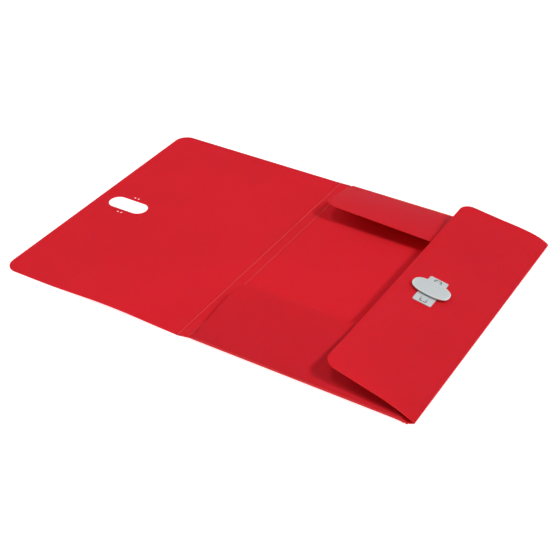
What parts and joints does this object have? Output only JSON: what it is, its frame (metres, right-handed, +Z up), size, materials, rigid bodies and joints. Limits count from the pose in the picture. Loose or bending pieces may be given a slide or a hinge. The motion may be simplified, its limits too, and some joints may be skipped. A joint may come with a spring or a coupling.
{
  "type": "document folder",
  "caption": "Three-flap A4 document folder in plastic sheet, open, with a slotted cover that locks shut on an oval turn button.",
  "frame": {"origin": "middle of the open folder's footprint, on the surface it lies on", "axes": "+X across the open folder from the cover to the closing flap, +Y along the spine from the bottom flap to the top flap, +Z up, from the outside of the sheet to the inside"},
  "size_m": [0.4632, 0.32, 0.0282],
  "materials": {
    "sheet": "satin red polypropylene sheet with a very fine grain",
    "crease": "thinned living hinge, slightly stress-whitened",
    "closure": "smooth light grey moulded plastic, satin"
  },
  "bodies": {
    "base": {"base_panel": "sheet", "base_spine_crease": "crease", "base_gusset_crease": "crease", "bottom_flap_crease": "crease", "top_flap_crease": "crease"},
    "spine": {"spine_panel": "sheet", "spine_cover_crease": "crease"},
    "cover": {"front_cover": "sheet"},
    "gusset": {"closing_gusset": "sheet", "gusset_flap_crease": "crease"},
    "closing_flap": {"closing_flap": "sheet", "closure_plate": "closure", "back_plate": "closure", "retaining_washer": "closure"},
    "turn_button": {"turn_button": "closure"},
    "bottom_flap_margin": {"bottom_flap_margin": "sheet"},
    "bottom_flap": {"bottom_flap": "sheet"},
    "top_flap_margin": {"top_flap_margin": "sheet"},
    "top_flap": {"top_flap": "sheet"}
  },
  "joints": [
    {"name": "spine_fold", "type": "hinge", "parent": "base", "child": "spine", "pos_m": [-0.00384, 0, 0.0008], "axis": [0, 1, 0], "range_deg": [0, 77]},
    {"name": "cover_fold", "type": "hinge", "parent": "spine", "child": "cover", "pos_m": [-0.01504, 0, 0.0008], "axis": [0, 1, 0], "range_deg": [0, 103]},
    {"name": "gusset_fold", "type": "hinge", "parent": "base", "child": "gusset", "pos_m": [0.22656, 0, 0.0008], "axis": [0, -1, 0], "range_deg": [0, 10.4]},
    {"name": "closing_flap_fold", "type": "hinge", "parent": "gusset", "child": "closing_flap", "pos_m": [0.23124, 0, 0.00308], "axis": [0, 1, 0], "range_deg": [0, 150]},
    {"name": "button_turn", "type": "hinge", "parent": "closing_flap", "child": "turn_button", "pos_m": [0.17067, 0, 0.01993], "axis": [0.1805, 0, 0.9836], "range_deg": [0, 90]},
    {"name": "bottom_flap_fold", "type": "hinge", "parent": "base", "child": "bottom_flap_margin", "pos_m": [0, -0.1592, 0.00095], "axis": [1, 0, 0], "range_deg": [0, 120]},
    {"name": "bottom_flap_bend", "type": "hinge", "parent": "bottom_flap_margin", "child": "bottom_flap", "pos_m": [0, -0.14553, 0.00404], "axis": [-1, 0, 0], "range_deg": [0, 10.5]},
    {"name": "top_flap_fold", "type": "hinge", "parent": "base", "child": "top_flap_margin", "pos_m": [0, 0.1592, 0.00095], "axis": [-1, 0, 0], "range_deg": [0, 120]},
    {"name": "top_flap_bend", "type": "hinge", "parent": "top_flap_margin", "child": "top_flap", "pos_m": [0, 0.14597, 0.00557], "axis": [1, 0, 0], "range_deg": [0, 12.7]}
  ],
  "couplings": [
    {"joint": "cover_fold", "follows": "spine_fold", "ratio": 1.3377},
    {"joint": "gusset_fold", "follows": "spine_fold", "ratio": 0.13506},
    {"joint": "bottom_flap_bend", "follows": "spine_fold", "ratio": 0.13636},
    {"joint": "top_flap_bend", "follows": "spine_fold", "ratio": 0.16493},
    {"joint": "bottom_flap_fold", "follows": "closing_flap_fold", "ratio": 0.8},
    {"joint": "top_flap_fold", "follows": "closing_flap_fold", "ratio": 0.8}
  ]
}
